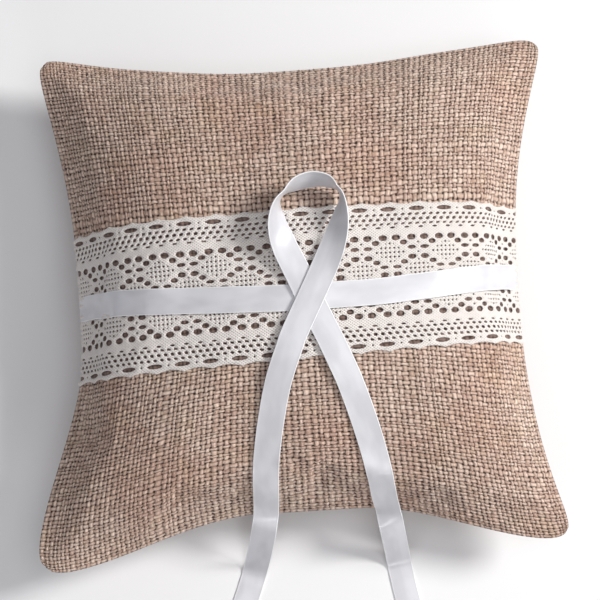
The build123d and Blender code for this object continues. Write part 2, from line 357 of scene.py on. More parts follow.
# %% A finish and its steps
class Finish:
    def __init__(self, name, roughness=0.8):
        self.material = bpy.data.materials.new(name)
        self.material.use_nodes = True
        self.nodes, self.links = self.material.node_tree.nodes, self.material.node_tree.links
        self.shader = self.nodes["Principled BSDF"]
        self.shader.inputs["Roughness"].default_value = roughness

    def feed(self, socket, value):
        if isinstance(value, bpy.types.NodeSocket):
            self.links.new(value, socket)
        else:
            socket.default_value = value

    def sum(self, operation, *values):
        node = self.nodes.new("ShaderNodeMath")
        node.operation = operation
        for socket, value in zip(node.inputs, values):
            self.feed(socket, value)
        return node.outputs[0]

    def times(self, first, second):
        return self.sum("MULTIPLY", first, second)

    def plus(self, first, second):
        return self.sum("ADD", first, second)

    def minus(self, first, second):
        return self.sum("SUBTRACT", first, second)

    def x_and_y(self, place):
        apart = self.nodes.new("ShaderNodeSeparateXYZ")
        self.links.new(place, apart.inputs[0])
        return apart.outputs[0], apart.outputs[1]

    def cloth(self):
        """The two distances in the flat cloth."""
        where = self.nodes.new("ShaderNodeUVMap")
        where.uv_map = "cloth"
        return self.x_and_y(where.outputs[0])

    def spot(self, x=0.0, y=0.0, z=0.0):
        node = self.nodes.new("ShaderNodeCombineXYZ")
        for socket, value in zip(node.inputs, (x, y, z)):
            self.feed(socket, value)
        return node.outputs[0]

    def noise(self, where, scale=1.0, detail=2.0, roughness=0.5):
        node = self.nodes.new("ShaderNodeTexNoise")
        self.feed(node.inputs["Vector"], where)
        for name, value in (("Scale", scale), ("Detail", detail), ("Roughness", roughness)):
            node.inputs[name].default_value = value
        return node.outputs[0]

    def solid_place(self):
        return self.nodes.new("ShaderNodeTexCoord").outputs["Object"]

    def fade(self, value, low, high, start=0.0, end=1.0):
        """start at low, end at high, and smooth between."""
        node = self.nodes.new("ShaderNodeMapRange")
        node.interpolation_type = "SMOOTHSTEP"
        for socket, given in zip(node.inputs, (value, low, high, start, end)):
            self.feed(socket, given)
        return node.outputs[0]

    def blend(self, share, first, second, kind="MIX"):
        node = self.nodes.new("ShaderNodeMix")
        node.data_type, node.blend_type = "RGBA", kind
        self.feed(node.inputs["Factor"], share)
        for socket, value in zip(node.inputs[6:8], (first, second)):
            self.feed(socket, value if isinstance(value, bpy.types.NodeSocket) else (*value, 1.0))
        return node.outputs[2]

    def colour(self, value):
        self.feed(self.shader.inputs["Base Color"], value)

    def gloss(self, **values):
        """Values of the shader, with _ for the spaces in their names."""
        for name, value in values.items():
            self.shader.inputs[name.replace("_", " ")].default_value = value

    def relief(self, height, depth, strength=1.0):
        node = self.nodes.new("ShaderNodeBump")
        node.inputs["Strength"].default_value = strength
        node.inputs["Distance"].default_value = depth
        self.feed(node.inputs["Height"], height)
        self.links.new(node.outputs[0], self.shader.inputs["Normal"])


# %% [markdown]
# ## Burlap
# Burlap is plain-woven jute: coarse, uneven threads that go over and under each other, with small dark
# gaps at the crossings. A picture of cloth would blur close up, so the weave is worked out
# instead. The cloth place counts threads, so its whole numbers are the gaps between threads. Which
# of the two threads is on top changes from crossing to crossing like a chess board.

# %% Burlap finish
lace_reach = 87 * MM
lace_front_bow = np.array([-27.4, 3.1, 0.8]) * MM
lace_back_bow = np.array([30.6, 0.75, 0.75]) * MM
bend = 0.14
thread_shades = (0.46, 0.30, 0.225), (0.82, 0.64, 0.53)
# painted shade: the dark colours for the threads' sides, the thread beneath, the gaps and the burlap under
# the lace
pale_fibre, painted_side_shade = (0.96, 0.84, 0.74), (0.16, 0.09, 0.06)
painted_under_shade, painted_gap_shade, painted_lace_shade = (0.10, 0.05, 0.035), (0.045, 0.020, 0.013), (0.10, 0.055, 0.045)
redder, greener = (0.92, 0.76, 0.70), (0.90, 0.90, 0.76)


def burlap_finish(name, painted_shade_under_lace):
    made = Finish(name, 0.88)
    warp, weft = made.cloth()

    # the threads wander a little, and each crossing shows one of them
    wander = made.noise(made.spot(warp, weft), 0.45, 2.0, 0.6)
    wander_too = made.noise(made.spot(warp, weft, 17.0), 0.45, 2.0, 0.6)
    bent_warp = made.plus(warp, made.fade(wander, 0.25, 0.75, -bend, bend))
    bent_weft = made.plus(weft, made.fade(wander_too, 0.25, 0.75, -bend, bend))
    thread_x, thread_y = made.sum("FLOOR", bent_warp), made.sum("FLOOR", bent_weft)
    chess = made.sum("MODULO", made.plus(thread_x, thread_y), 2.0)
    off_x = made.sum("ABSOLUTE", made.minus(made.sum("FRACT", bent_warp), 0.5))
    off_y = made.sum("ABSOLUTE", made.minus(made.sum("FRACT", bent_weft), 0.5))

    def either(of_warp, of_weft):
        """The first where the warp is on top, the second where the weft is."""
        return made.plus(made.times(of_warp, made.minus(1.0, chess)), made.times(of_weft, chess))

    # each thread has its own tone, thickness and lie of fibres, and they change along it
    def grain(x_scale, y_scale, layer=0.0, x=warp, y=weft, detail=2.0, roughness=0.6):
        spot = made.spot(made.times(x, x_scale), made.times(y, y_scale), layer)
        return made.noise(spot, detail=detail, roughness=roughness)

    warp_tone = grain(7.31, 0.35, x=thread_x, detail=3.0, roughness=0.7)
    weft_tone = grain(0.35, 7.31, 9.0, y=thread_y, detail=3.0, roughness=0.7)
    warp_width = grain(3.7, 0.6, 30.0, x=thread_x, roughness=0.5)
    weft_width = grain(0.6, 3.7, 40.0, y=thread_y, roughness=0.5)
    strand = either(grain(9.0, 1.6), grain(1.6, 9.0, 4.0))
    half_top = made.fade(either(warp_width, weft_width), 0.3, 0.7, 0.27, 0.42)
    half_under = made.fade(either(weft_width, warp_width), 0.3, 0.7, 0.27, 0.42)
    off_top, off_under = either(off_x, off_y), either(off_y, off_x)
    beside_top = made.fade(made.minus(off_top, half_top), -0.07, 0.04)
    beside_under = made.fade(made.minus(off_under, half_under), -0.07, 0.04)

    def jute(tone):
        plain = made.blend(made.fade(tone, 0.30, 0.70), *thread_shades)
        return made.blend(made.fade(strand, 0.50, 0.75, 0.0, 0.75), plain, pale_fibre)

    # painted shade: the upper thread is shaded towards its sides and ends, the lower one is darker, and
    # the gaps are darkest
    sides = made.fade(off_top, 0.08, 0.36, 0.0, 0.42)
    painted_round_shade = made.plus(sides, made.fade(off_under, 0.30, 0.52, 0.0, 0.38))
    top_colour = made.blend(painted_round_shade, jute(either(warp_tone, weft_tone)), painted_side_shade)
    under_colour = made.blend(0.58, jute(either(weft_tone, warp_tone)), painted_under_shade)
    below = made.blend(beside_under, under_colour, painted_gap_shade)
    woven_colour = made.blend(beside_top, top_colour, below)
    patches = made.fade(made.noise(made.solid_place(), 24.0, 3.0, 0.6), 0.40, 0.68, 0.0, 0.55)
    woven_colour = made.blend(patches, woven_colour, redder, "MULTIPLY")
    green = made.fade(made.noise(made.solid_place(), 90.0, 2.0, 0.5), 0.50, 0.72, 0.0, 0.4)
    woven_colour = made.blend(green, woven_colour, greener, "MULTIPLY")

    # painted shade: the burlap's colour is darkened where the lace covers it, as little light gets through
    # the lace
    if painted_shade_under_lace:
        x, y = made.x_and_y(made.solid_place())
        share = made.sum("DIVIDE", x, lace_reach)
        painted_shade_share = 0.80
        for (level, slope, bow), way in ((lace_front_bow, 1.0), (lace_back_bow, -1.0)):
            edge = made.sum("MULTIPLY_ADD", made.sum("MULTIPLY_ADD", share, bow, slope), share, level)
            depth = made.times(made.minus(y, edge), way)
            painted_shade_share = made.times(made.fade(depth, 0.8 * MM, 2.2 * MM), painted_shade_share)
        woven_colour = made.blend(painted_shade_share, woven_colour, painted_lace_shade)
    made.colour(woven_colour)
    sunk = made.plus(made.times(beside_top, 0.8), made.times(off_top, 0.9))
    made.relief(made.minus(made.times(strand, 0.5), sunk), 0.45 * MM, 0.9)
    made.gloss(Sheen_Weight=0.15, Sheen_Roughness=0.6)
    return made.material


# %% Burlap panels
warp_count, weft_count = 95, 114
slub_share, slub_times = 0.06, 1.35
draws = np.random.default_rng(7)


def thread_steps(count):
    """Where the gap and the two shoulders of each uneven thread are, across the cloth."""
    widths = 1 + 0.16 * draws.standard_normal(count)
    widths[draws.random(count) < slub_share] *= slub_times
    widths = clamp(widths, 0.6, 1.6)
    edges = np.concatenate([[0], np.cumsum(widths)]) / widths.sum()
    thirds = np.arange(3 * count + 1) / 3
    return np.interp(thirds, np.arange(count + 1), edges) * cells, thirds


def woven(shape, underside):
    """A panel's points, raised and sunk as its threads go over and under, and their cloth places."""
    columns, warp = thread_steps(warp_count)
    rows, weft = thread_steps(weft_count)
    smooth = finer(shape, rows, columns)
    warp, weft = np.meshgrid(warp, weft)
    gap_x, gap_y = np.abs(warp % 1 - 0.5) > 0.4, np.abs(weft % 1 - 0.5) > 0.4
    rise = 0.26 - 0.24 * gap_x - 0.24 * gap_y - 0.30 * (gap_x & gap_y)
    plump = 1 + 0.25 * draws.standard_normal((1, warp.shape[1]))
    plump = plump + 0.2 * draws.standard_normal((warp.shape[0], 1))
    slack = 0.12 * draws.standard_normal(warp.shape)
    from_sides, from_ends = (clamp(1 - np.abs(2 * at / cells - 1)) for at in (columns, rows))
    fade = ease(np.minimum(from_sides[None, :], from_ends[:, None]), 0.0, 0.02)
    way = facing(smooth) * (-1 if underside else 1)
    lift = (rise * clamp(plump, 0.5, 1.6) + slack) * fade * MM
    points = smooth + way * lift[..., None]
    points[..., 2] = np.maximum(points[..., 2], 0.05 * MM)
    return points, np.stack([warp, weft], axis=2)


burlap = burlap_finish("burlap", painted_shade_under_lace=True)
plain_burlap = burlap_finish("burlap of the back", painted_shade_under_lace=False)
for name, node, shape, underside in (("front_cover", "front_panel", face_shape, False),
                                     ("back_cover", "back_panel", under_shape, True)):
    points, places = woven(shape, underside)
    piece = cloth_piece(name, points, places, turned_over=underside)
    piece.data.materials.append(plain_burlap if underside else burlap)
    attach(piece, "cushion")
    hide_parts(node)
    print(name, len(piece.data.polygons), "faces")

# %% [markdown]
# ## Inside: the inner cover and the filling
# A thin cotton bag holds the polyester fibre, so that it cannot work out through the open weave.
# Nobody sees it, so each half is simply the cushion's own grid drawn in by the cloth's thickness,
# and the filling is a closed lump drawn in a little more, with an uneven surface.

# %% Inner cover
def plain_finish(name, base, deep, scale):
    made = Finish(name, 0.9)
    grain = made.noise(made.solid_place(), scale, 3.0, 0.6)
    made.colour(made.blend(grain, deep, base))
    made.relief(grain, 0.3 * MM, 0.6)
    return made.material


lining = plain_finish("cotton lining", (0.86, 0.84, 0.79), (0.62, 0.60, 0.55), 900)
fibre = plain_finish("polyester fibre", (0.93, 0.93, 0.93), (0.70, 0.70, 0.72), 160)
margin, bag_depth, filling_depth = 4, 1.7 * MM, 3.4 * MM
keep_rows = slice(margin, cells + 1 - margin)
for name, node, shape, side in (("inner_bag_top", "inner_cover_top", face_shape, 1),
                                ("inner_bag_bottom", "inner_cover_bottom", under_shape, -1)):
    drawn_in = (shape - side * facing(shape) * bag_depth)[keep_rows, keep_rows]
    piece = cloth_piece(name, drawn_in, drawn_in[..., :2] / MM, turned_over=side < 0)
    piece.data.materials.append(lining)
    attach(piece, "cushion")
    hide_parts(node)
    print(name, len(piece.data.polygons), "faces")

# %% Filling
lumps = 0.9 * MM * np.sin(place_x / (6 * MM)) * np.sin(place_y / (7 * MM) + 1)
shells = []
for shape, side in ((face_shape, 1), (under_shape, -1)):
    drawn_in = shape - side * facing(shape) * (filling_depth + lumps[..., None])
    drawn_in[..., 2] = seam_height + (drawn_in[..., 2] - seam_height) * 0.99
    shells.append(drawn_in[keep_rows, keep_rows])
rim = (shells[0] + shells[1]) / 2
for shell in shells:
    shell[[0, -1]], shell[:, [0, -1]] = rim[[0, -1]], rim[:, [0, -1]]
filling = new_piece("filling", closed_bag("filling", *shells)[0])
filling.data.materials.append(fibre)
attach(filling, "cushion")
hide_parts("fibre_fill")
print("filling", len(filling.data.polygons), "faces")

# %% [markdown]
# ## Thread
# All the sewing is made with one helper: a stitch is a short round thread that bows up a little
# between the two places where it goes down into the cloth. Its twist is in its finish.

# %% Stitches
def thread_finish(name, light, dark):
    made = Finish(name, 0.7)
    along, around = made.cloth()
    ply = made.sum("SINE", made.times(made.plus(along, around), 14.0))
    made.colour(made.blend(made.fade(ply, -1.0, 1.0), dark, light))
    made.relief(ply, 0.08 * MM, 0.7)
    return made.material


def stitch(start, end, way, bow, radius, sides=8, rings=9):
    """A run of rings along one bowed stitch."""
    share = np.linspace(0, 1, rings)
    start, end, way = (np.array(point, float) for point in (start, end, way))
    line = start + (end - start) * share[:, None] + way * (bow * np.sin(math.pi * share) - radius)[:, None]
    along = end - start
    along /= np.linalg.norm(along)
    side = np.cross(way, along)
    turned_by = np.arange(sides) / sides * 2 * math.pi
    thin = radius * (0.35 + 0.65 * np.sin(math.pi * clamp(share, 0.06, 0.94)) ** 0.4)
    ring = np.cos(turned_by)[:, None] * side + np.sin(turned_by)[:, None] * way
    rings_made = line[:, None, :] + ring[None] * thin[:, None, None]
    length = np.linalg.norm(end - start) / MM
    around = np.abs(turned_by / math.pi - 1)
    places = np.stack(np.broadcast_arrays((share * length)[:, None], around[None]), 2)
    return rings_made, places


def sewing(name, stitches, finish, node):
    runs = [stitch(*made) for made in stitches]
    piece = wrapped_piece(name, [run[0] for run in runs], [run[1] for run in runs])
    piece.data.materials.append(finish)
    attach(piece, "cushion")
    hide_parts(node)
    print(name, len(runs), "stitches")
    return piece


tan_thread = thread_finish("tan thread", (0.62, 0.47, 0.33), (0.30, 0.20, 0.13))
white_thread = thread_finish("white thread", (0.92, 0.91, 0.88), (0.60, 0.58, 0.55))

# %% Seam stitches
def rim_points(shape, inset):
    """Points all round a grid, a few rows in from its edge."""
    last = shape.shape[0] - 1 - inset
    loop = np.concatenate([shape[inset, inset:last], shape[inset:last, last],
                           shape[last, last:inset:-1], shape[last:inset:-1, inset]])
    return np.concatenate([loop, loop[:1]])


def spaced(line, pitch):
    """Points at an even pitch along a line."""
    length = length_along(line)
    return read_off(np.arange(0, length[-1] - pitch / 2, pitch), length, line)


seam_pitch, stitch_share = 5.5 * MM, 0.55
between_covers = (smooth_face + finer(under_shape, smooth_rows, smooth_rows)) / 2
seam_loop = spaced(rim_points(between_covers, inset=8), seam_pitch)
closing_low, closing_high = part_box("closing_stitches")
closing_half = (closing_high.x - closing_low.x) / 2
seam_work = []
for number in range(len(seam_loop) - 1):
    start, onward = seam_loop[number], seam_loop[number + 1]
    if start[1] > 0 and abs(start[0]) < closing_half:
        continue
    end = start + (onward - start) * stitch_share
    seam_work.append((start, end, (0, 0, 1), 0.2 * MM, 0.25 * MM))
sewing("seam_sewing", seam_work, tan_thread, "seam_stitches")

# %% Closing stitches
back_edge = smooth_face[-1]
closing_pitch = 6 * MM
closing_work = []
for x in np.arange(-closing_half + 0.5 * MM, closing_half, closing_pitch):
    point = read_off(x, back_edge[:, 0], back_edge)
    step = np.array((0.4 * MM, -0.7 * MM, 1.5 * MM))
    closing_work.append((point - step * (1, -1, 1), point + step, (0, 1, 0), 0.9 * MM, 0.25 * MM))
sewing("closing_sewing", closing_work, tan_thread, "closing_stitches")

# %% [markdown]
# ## Lace
# Cotton lace of this kind is knotted by machine from fine cord: a pointed edge, a row of long eyelets,
# rows of net, a plain footing, and a middle of little flowers with fields of pin holes between
# them. A transparent picture would have no edges to catch the light, so the holes are really cut. One
# function says how far any point of the flat lace is from the nearest hole: the grid's points are
# pulled onto the holes' rims, so that the rims come out round, and the cells inside are left out.

# %% Lace pattern
lace_half, repeat, pin_pitch = 28.5, 11.0, 1.7
# For each oval of a flower: its shift in repeats, its spread sideways, its height above the lace's
# middle, its half length and half height, and how many repeats apart it comes again.
petals = ((0, 1.00, 14.4, 1.60, 1.10, 1), (0, 1.00, 10.5, 1.65, 0.72, 2), (0, 1.00, 6.9, 1.60, 0.95, 2),
          (1, 1.00, 3.3, 1.60, 0.62, 2), (0, 2.25, 12.5, 1.40, 0.95, 2), (0, 2.25, 5.1, 1.35, 0.85, 2),
          (1, 1.00, 0.6, 1.60, 0.80, 2))


def eyelets(s, t, at_s, at_t, half_length, half_height, pitch, lean=0.0):
    """Distance from a row of oval holes, in millimetres; below zero inside one."""
    away_s = (s - at_s + pitch / 2) % pitch - pitch / 2
    away_t = t - at_t
    away_s = away_s - lean * away_t
    reach = np.sqrt((away_s / half_length) ** 2 + (away_t / half_height) ** 2)
    return (reach - 1) * min(half_length, half_height)


def lace_rim(s, t):
    """Distance into the lace's cord from the nearest hole or edge, in millimetres."""
    inward, high = lace_half - np.abs(t), np.abs(t)
    s_edge = s + np.where(t > 0, 0.0, 3.5)
    rows = [inward - 1.05 * np.abs(np.sin(math.pi * (s_edge - 1.0) / repeat)) ** 0.8 - 0.05,
            eyelets(s_edge, inward, 0.0, 3.0, 3.0, 0.85, repeat),
            eyelets(s_edge, inward, 5.5, 3.1, 0.35, 0.35, repeat),
            eyelets(s_edge, inward, 0.0, 5.2, 0.72, 0.50, repeat / 4, -0.5),
            eyelets(s_edge, inward, 1.4, 7.0, 0.74, 0.60, repeat / 4, -0.3),
            eyelets(s_edge, inward, 0.0, 8.8, 0.72, 0.46, repeat / 4, -0.6),
            eyelets(s_edge, inward, 1.4, 10.2, 0.95, 0.36, repeat / 2, -0.3)]
    for side in (-2.5, 2.5):
        for shift, spread, at_t, half_length, half_height, apart in petals:
            at_s = shift * repeat + spread * side
            rows.append(eyelets(s, high, at_s, at_t, half_length, half_height, apart * repeat))
    for at_t in (12.4, 8.7):
        rows.append(eyelets(s, high, 0.0, at_t, 0.42, 0.36, 2 * repeat))
    for middle_s, middle_t, wide, tall in ((repeat, 8.8, 5.6, 4.6), (0.0, 2.4, 6.4, 3.6)):
        away = (s - middle_s + repeat) % (2 * repeat) - repeat
        field = 1 - np.abs(away) / wide - np.abs(high - middle_t) / tall
        pin_s = (away + pin_pitch / 2) % pin_pitch - pin_pitch / 2
        pin_t = (high - middle_t + pin_pitch / 2) % pin_pitch - pin_pitch / 2
        pins = np.hypot(pin_s, pin_t) - 0.40
        rows.append(np.where(field > -0.02, pins, 2.0))
    return np.minimum.reduce(rows)


# %% Lace mesh
def lace_edges(x):
    """The lace's front and back edge across the cushion: it is not sewn on quite straight."""
    share = x / lace_reach
    return tuple(level + slope * share + bend * share ** 2
                 for level, slope, bend in (lace_front_bow, lace_back_bow))


cell, lace_start = 0.34, 2.0
columns = np.linspace(0.12, cells - 0.12, 600)
strip_points = finer(face_shape, smooth_rows, columns)
mid_row = strip_points[len(smooth_rows) // 2]
lace_s = length_along(mid_row) / MM
lace_length = lace_s[-1]
columns = np.interp(np.arange(0, lace_length, cell), lace_s, columns)
lace_s = np.arange(0, lace_length, cell)
lace_t = np.arange(-lace_half, lace_half + cell / 2, cell)
s_grid, t_grid = np.meshgrid(lace_s, lace_t)
s_grid = s_grid - lace_length / 2 - lace_start

# %% Holes pulled round
for sweep in range(3):
    rim_now = lace_rim(s_grid, t_grid)
    tiny = 0.02
    slope_s = (lace_rim(s_grid + tiny, t_grid) - rim_now) / tiny
    slope_t = (lace_rim(s_grid, t_grid + tiny) - rim_now) / tiny
    steep = slope_s ** 2 + slope_t ** 2 + 1e-6
    near = np.abs(rim_now) < 0.62 * cell * np.sqrt(steep)
    pull = np.where(near, -rim_now / steep, 0.0) * (0.9 if sweep else 1.0)
    limit = 0.30 * cell
    s_grid = s_grid + clamp(pull * slope_s, -limit, limit)
    t_grid = t_grid + clamp(pull * slope_t, -limit, limit)
rim_now = lace_rim(s_grid, t_grid)
centre_s, centre_t = ((grid[:-1, :-1] + grid[1:, 1:] + grid[:-1, 1:] + grid[1:, :-1]) / 4
                      for grid in (s_grid, t_grid))
keep = lace_rim(centre_s, centre_t) > 0
print("lace cells kept:", int(keep.sum()), "of", keep.size)

# %% Lace laid on the face
s_from_left = clamp(s_grid + lace_length / 2 + lace_start, 0, lace_length)
column_of = np.interp(s_from_left, lace_s, np.arange(len(lace_s)))
strip_points = finer(face_shape, smooth_rows, columns)
strip_way = facing(strip_points)
lace_points = np.zeros((*s_grid.shape, 3))
for number in range(len(columns)):
    line, way = strip_points[:, number], strip_way[:, number]
    front_y, back_y = lace_edges(line[len(line) // 2, 0])
    wanted = (front_y + back_y) / 2 + t_grid[:, number] / lace_half * (back_y - front_y) / 2
    spot, look = read_off(wanted, line[:, 1], line), read_off(wanted, line[:, 1], way)
    cord = 0.34 * clamp(rim_now[:, number] / 0.5) ** 0.6 - 0.10
    ridge = 0.16 * np.exp(-((lace_half - np.abs(t_grid[:, number]) - 1.3) / 0.7) ** 2)
    lace_points[:, number] = spot + look * (0.72 + cord + ridge)[:, None] * MM
shift = column_of - np.arange(len(lace_s))
lace_points += np.gradient(lace_points, axis=1) * shift[..., None]
lace_low, lace_high = lace_points.min(axis=(0, 1)), lace_points.max(axis=(0, 1))
print("lace lies from", np.round(lace_low / MM, 1), "to", np.round(lace_high / MM, 1))

# %% Lace finish and piece
def lace_finish():
    made = Finish("cotton lace", 0.85)
    s, t = made.cloth()
    lean, cord_count = 1.35, 4.6
    one_way = made.sum("SINE", made.times(made.plus(s, made.times(t, lean)), cord_count))
    other_way = made.sum("SINE", made.times(made.minus(s, made.times(t, lean)), cord_count))
    cords = made.sum("MAXIMUM", one_way, other_way)
    fuzz = made.noise(made.spot(s, t), 5.0, 3.0, 0.7)
    wide = made.noise(made.spot(s, t), 0.16, 2.0, 0.5)
    colour = made.blend(made.fade(cords, -0.6, 1.0), (0.69, 0.61, 0.57), (0.92, 0.89, 0.855))
    colour = made.blend(made.fade(fuzz, 0.35, 0.70, 0.35, 0.0), colour, (0.62, 0.53, 0.50))
    colour = made.blend(made.fade(wide, 0.40, 0.62, 0.0, 0.25), colour, (0.92, 0.84, 0.80))
    made.colour(colour)
    made.relief(made.plus(cords, made.times(fuzz, 0.8)), 0.16 * MM, 0.9)
    made.gloss(Sheen_Weight=0.1)
    return made.material


lace = cloth_piece("lace", lace_points, np.stack([s_grid, t_grid], axis=2), keep=keep)
lace.data.materials.append(lace_finish())
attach(lace, "cushion")
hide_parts("lace_band")
print("lace", len(lace.data.polygons), "faces,", round(lace_length), "mm long when flat")

# %% Lace stitches
hem, half_stitch = 1.5 * MM, Vector((1.1 * MM, 0, 0))
lace_work = []
for row in (0, 1):
    for x in np.arange(-72, 73, 8.0) * MM:
        y = lace_edges(x)[row] + (hem if row == 0 else -hem)
        spot, way = on_face(x, y)
        spot = spot + way * 1.15 * MM
        lace_work.append((spot - half_stitch, spot + half_stitch, way, 0.15 * MM, 0.17 * MM))
sewing("lace_sewing", lace_work, white_thread, "lace_stitches")

# %% [markdown]
# ## Satin
# Satin ribbon is woven so that long threads float on its face: that is what makes it shine, mostly
# across its length. Its two edges are woven tighter and stand as fine ridges. Each ribbon
# here is a strip of thin rings swept along a line, closed all round, so it has a real edge.

# %% Satin finish
def satin_finish():
    made = Finish("white satin", 0.30)
    along, across = made.cloth()
    floats = made.noise(made.spot(made.times(along, 0.25), made.times(across, 9.0)))
    cloudy = made.noise(made.spot(made.times(along, 0.05), made.times(across, 0.12)))
    edge = made.fade(made.sum("ABSOLUTE", across), 4.55, 4.85)
    colour = made.blend(made.fade(cloudy, 0.35, 0.65), (0.58, 0.575, 0.605), (0.675, 0.675, 0.71))
    # painted highlight: the ribbon's edges are tinted near white, lighter than the rest of the satin
    colour = made.blend(made.times(edge, 0.75), colour, (0.93, 0.93, 0.95))
    made.colour(colour)
    ribs = made.sum("SINE", made.times(along, 20.0))
    height = made.plus(made.times(floats, 0.5), made.times(made.times(ribs, edge), 0.5))
    made.relief(height, 0.05 * MM, 0.6)
    made.gloss(Specular_IOR_Level=0.8, Anisotropic=0.5, Sheen_Weight=0.2, Sheen_Roughness=0.4)
    return made.material


satin = satin_finish()
ribbon_half, half_ribbon_cloth, edge_ridge = 5.0 * MM, 0.17 * MM, 0.05 * MM

# %% Ribbon strips
def ribbon_rings(line, side, cup=0.0):
    """Thin closed rings across a ribbon at each point of its line, and their cloth places."""
    along = np.gradient(line, axis=0)
    along /= np.linalg.norm(along, axis=1, keepdims=True)
    side = side - along * (side * along).sum(1, keepdims=True)
    side /= np.linalg.norm(side, axis=1, keepdims=True)
    out = np.cross(side, along)
    selvedge = np.linspace(0.88, 1, 3)
    across = np.concatenate([-selvedge[::-1], np.linspace(-0.8, 0.8, 11), selvedge])
    half_thick = half_ribbon_cloth + edge_ridge * ease(np.abs(across), 0.88, 0.93)
    bow = -cup * across ** 2
    top, bottom = half_thick + bow, bow - half_thick
    over = np.concatenate([across, across[::-1]])
    height = np.concatenate([top, bottom[::-1]])
    rings = line[:, None] + side[:, None] * (over * ribbon_half)[None, :, None]
    rings = rings + out[:, None] * height[None, :, None]
    length = length_along(line) / MM
    places = np.stack(np.broadcast_arrays(length[:, None], over[None] * ribbon_half / MM), axis=2)
    return rings, places


def even_line(points, ways, pitch):
    """A smooth line through points, at an even pitch, with the ways that go with them."""
    at = np.linspace(0, len(points) - 1, 24 * (len(points) - 1) + 1)
    dense = between(np.array(points, float), at)
    dense_ways = between(np.array(ways, float), at)
    length = length_along(dense)
    even = np.linspace(0, length[-1], int(length[-1] / pitch) + 1)
    return read_off(even, length, dense), read_off(even, length, dense_ways), length[-1]


# %% Satin band
band_points = np.array([(-86, 1.3), (-46, -1.8), (-5, -3.9), (13, -3.8), (41, -2.3), (88, 3.5)])
band_columns = np.linspace(0.0, cells, 161)
band_strip = finer(face_shape, smooth_rows, band_columns)
band_x = np.linspace(band_points[0, 0], band_points[-1, 0], 60)
band_y = between(band_points, np.interp(band_x, band_points[:, 0], np.arange(len(band_points))))[:, 1]
band_line, band_side = [], []
for number in range(len(band_columns)):
    line = band_strip[:, number]
    y = np.interp(line[len(line) // 2, 0] / MM, band_x, band_y) * MM
    spot, ahead = (read_off(at, line[:, 1], line) for at in (y, y + 3 * MM))
    band_line.append(spot)
    band_side.append(ahead - spot)
band_line, band_side = np.array(band_line), -np.array(band_side)
band_way = np.cross(band_side, np.gradient(band_line, axis=0))
band_way /= np.linalg.norm(band_way, axis=1, keepdims=True)
band_way *= np.where(band_way[:, 2:] < 0, -1, 1)
end_share = np.minimum(np.arange(len(band_line)), np.arange(len(band_line))[::-1]) / 8.0
band_line = band_line + band_way * (0.5 + 1.1 * ease(end_share, 0, 1))[:, None] * MM
band_line, band_side, band_length = even_line(band_line, band_side, pitch=0.8 * MM)
rings, places = ribbon_rings(band_line, band_side, cup=0.15 * MM)
band = wrapped_piece("band_of_satin", [rings], [places])
band.data.materials.append(satin)
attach(band, "cushion")
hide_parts("satin_band")
print("satin band", round(band_length / MM), "mm long")

# %% [markdown]
# ## The tied ribbon
# One ribbon makes the loop and both tails: it comes up from the left tail, over the crossing, round
# the loop on its edge, back under the crossing and down to the right tail. It is drawn here
# as one line from tail end to tail end, so it keeps one width and no joint shows, and is then
# parted where the solid model's loop and tails start to lift.

# %% Ribbon route
tack_low, tack_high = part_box("tack_stitch")
cross = (tack_low + tack_high) / 2
hinge_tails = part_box("crossing_over")[0].y
left_route = ((-1.85, -17.5), (-8.5, -34), (-13, -51), (-16, -68), (-17.5, -83.5), (-22.3, -101.5),
              (-29, -120), (-41.5, -150))
right_route = ((10.2, -17.5), (17, -34.5), (22.5, -51.5), (27, -69), (30.5, -85), (34, -101.5),
               (37, -120), (43.5, -150))
loop_route = (
    (9.2, 3.3, 0), (11.8, 8.4, 6), (14.6, 14.6, 22), (17.0, 21.6, 42), (18.3, 28.8, 68),
    (17.9, 35.0, 93), (14.0, 38.6, 75), (8.2, 39.6, 66), (2.2, 38.2, 72), (-3.1, 34.6, 93),
    (-5.4, 29.2, 68), (-5.5, 22.8, 42), (-3.6, 15.4, 16), (-0.6, 8.2, 4), (1.6, 3.0, 0))
over_lift, under_lift, tail_lift = 2.95 * MM, 2.25 * MM, 1.2 * MM
room_on_lace, room_on_burlap = 1.75 * MM, 0.95 * MM
leave_y, land_y, floor_lift = -86.0 * MM, -109.0 * MM, 0.35 * MM


def level_way(route, number):
    """The way a route runs at one of its points, as seen from above."""
    before, after = route[max(number - 1, 0)], route[min(number + 1, len(route) - 1)]
    return Vector((after[0] - before[0], after[1] - before[1], 0)).normalized()


# %% Tails
def tail_stations(route, first_lift, downwards):
    """Middles of a tail from the crossing down, and the way its width runs."""
    middles, sides, left_from = [], [], None
    legs = len(route) - 1
    route = between(np.array(route, float), np.linspace(0, legs, 3 * legs + 1))
    for number, (x, y) in enumerate(route):
        x, y = x * MM, y * MM
        way = level_way(route, number) * (1 if downwards else -1)
        if y > leave_y:
            spot, look = on_face(x, y)
            settle = float(ease(-y, 28 * MM, 46 * MM))
            centre = spot + look * (first_lift + (tail_lift - first_lift) * settle)
            left_from = centre
            side = way.cross(look)
        else:
            share = min(1.0, (left_from.y - y) / (left_from.y - land_y))
            fall = left_from.z * (2 * share ** 3 - 3 * share ** 2 + 1)
            fall -= 0.7 * (left_from.y - land_y) * (share ** 3 - 2 * share ** 2 + share)
            clear = 1.6 * MM * min(1.0, 4 * share) * (1 - share)
            centre = Vector((x, y - clear, fall + clear + floor_lift * (3 * share ** 2 - 2 * share ** 3)))
            side = way.cross(Vector((0, 0, 1)))
        middles.append(centre)
        sides.append(side.normalized())
    return middles, sides


